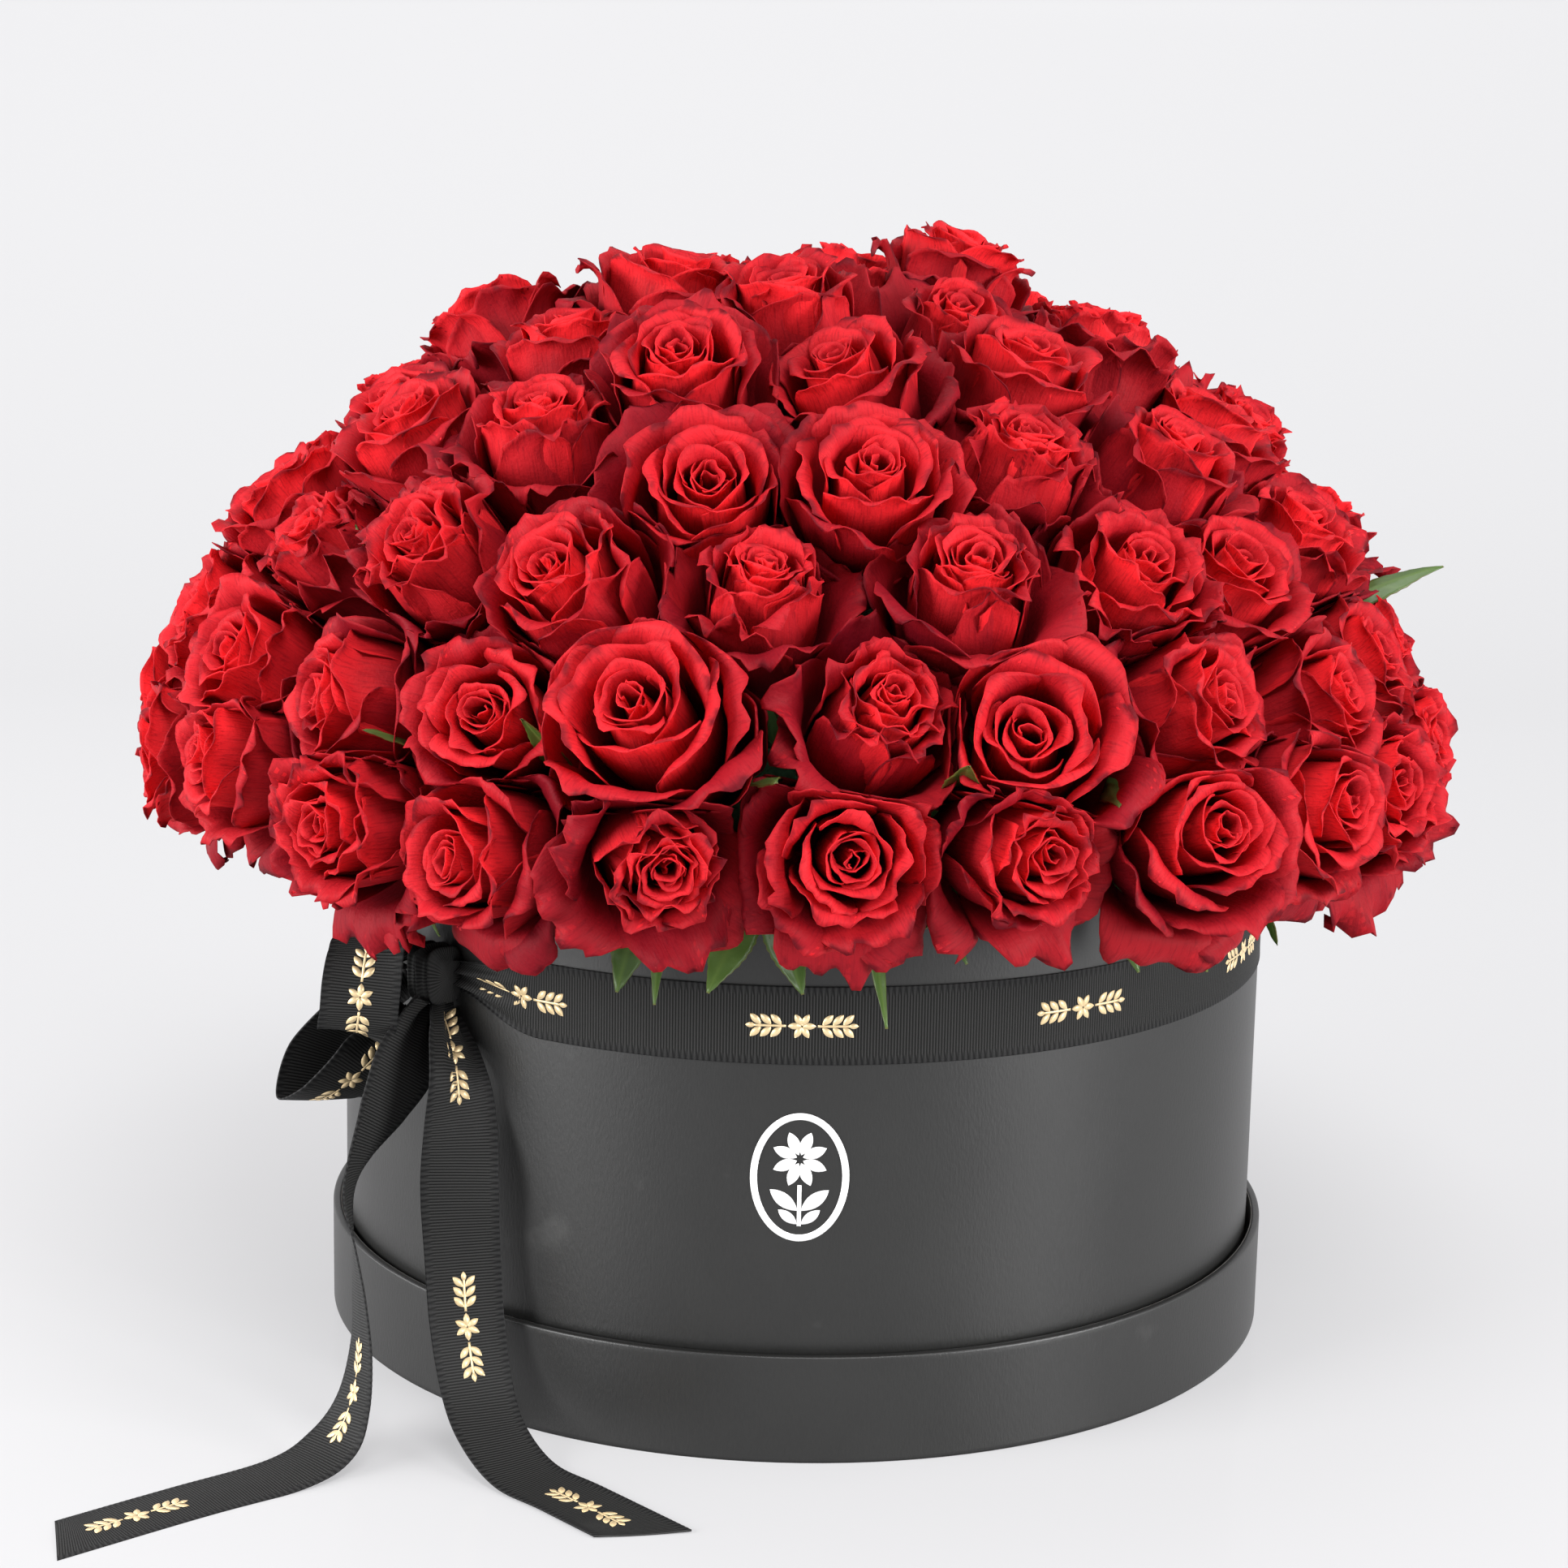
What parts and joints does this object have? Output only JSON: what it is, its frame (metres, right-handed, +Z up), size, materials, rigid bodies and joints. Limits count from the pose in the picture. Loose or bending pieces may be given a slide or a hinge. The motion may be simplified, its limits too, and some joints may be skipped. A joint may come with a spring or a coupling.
{
  "type": "flower box",
  "caption": "Round lidded hat box filled with a dome of cut red roses, tied with a ribbon band, bow and two long tails, standing in its own upturned lid.",
  "frame": {"origin": "middle of the upturned lid's underside, on the table", "axes": "+Z up along the box's axis, -Y towards the front of the box, +X to its right"},
  "size_m": [0.4546, 0.4652, 0.3721],
  "materials": {
    "charcoal_paper": "matt covering paper",
    "grey_board": "raw grey board",
    "liner_film": "waterproof film",
    "wet_foam": "soaked floral foam",
    "rose_petal": "velvety petal",
    "calyx_green": "waxy sepals",
    "stem_green": "green stem",
    "leaf_green": "waxy leaf",
    "black_ribbon": "ribbed grosgrain",
    "gold_print": "gold foil print",
    "white_print": "white print"
  },
  "bodies": {
    "lid": {"lid_sheet": "charcoal_paper", "lid_panel": "grey_board", "lid_rim": "grey_board", "lid_wrap": "charcoal_paper"},
    "box": {"bow_knot": "black_ribbon", "bow_loop_lower": "black_ribbon", "bow_loop_upper": "black_ribbon", "box_base_sheet": "charcoal_paper", "box_floor": "grey_board", "box_wall": "grey_board", "box_wrap": "charcoal_paper", "foam_crown": "wet_foam", "foam_lower_left": "wet_foam", "foam_lower_right": "wet_foam", "foam_middle_back": "wet_foam", "foam_middle_front": "wet_foam", "front_emblem": "white_print", "leaves_under_dome": "leaf_green", "liner_cup": "liner_film", "ribbon_band": "black_ribbon", "ribbon_tail_left": "black_ribbon", "ribbon_tail_right": "black_ribbon", "rose_calyxes_ring_1": "calyx_green", "rose_calyxes_ring_2": "calyx_green", "rose_calyxes_ring_3": "calyx_green", "rose_calyxes_ring_4": "calyx_green", "rose_calyxes_ring_5": "calyx_green", "rose_calyxes_ring_6": "calyx_green", "rose_calyxes_ring_7": "calyx_green", "rose_heads_ring_1": "rose_petal", "rose_heads_ring_2": "rose_petal", "rose_heads_ring_3": "rose_petal", "rose_heads_ring_4": "rose_petal", "rose_heads_ring_5": "rose_petal", "rose_heads_ring_6": "rose_petal", "rose_heads_ring_7": "rose_petal", "rose_stems_ring_1": "stem_green", "rose_stems_ring_2": "stem_green", "rose_stems_ring_3": "stem_green", "rose_stems_ring_4": "stem_green", "rose_stems_ring_5": "stem_green", "rose_stems_ring_6": "stem_green", "rose_stems_ring_7": "stem_green"}
  },
  "joints": [
    {"name": "box_lift", "type": "slide", "parent": "lid", "child": "box", "axis": [0, 0, 1], "range_m": [0, 0.06]}
  ]
}
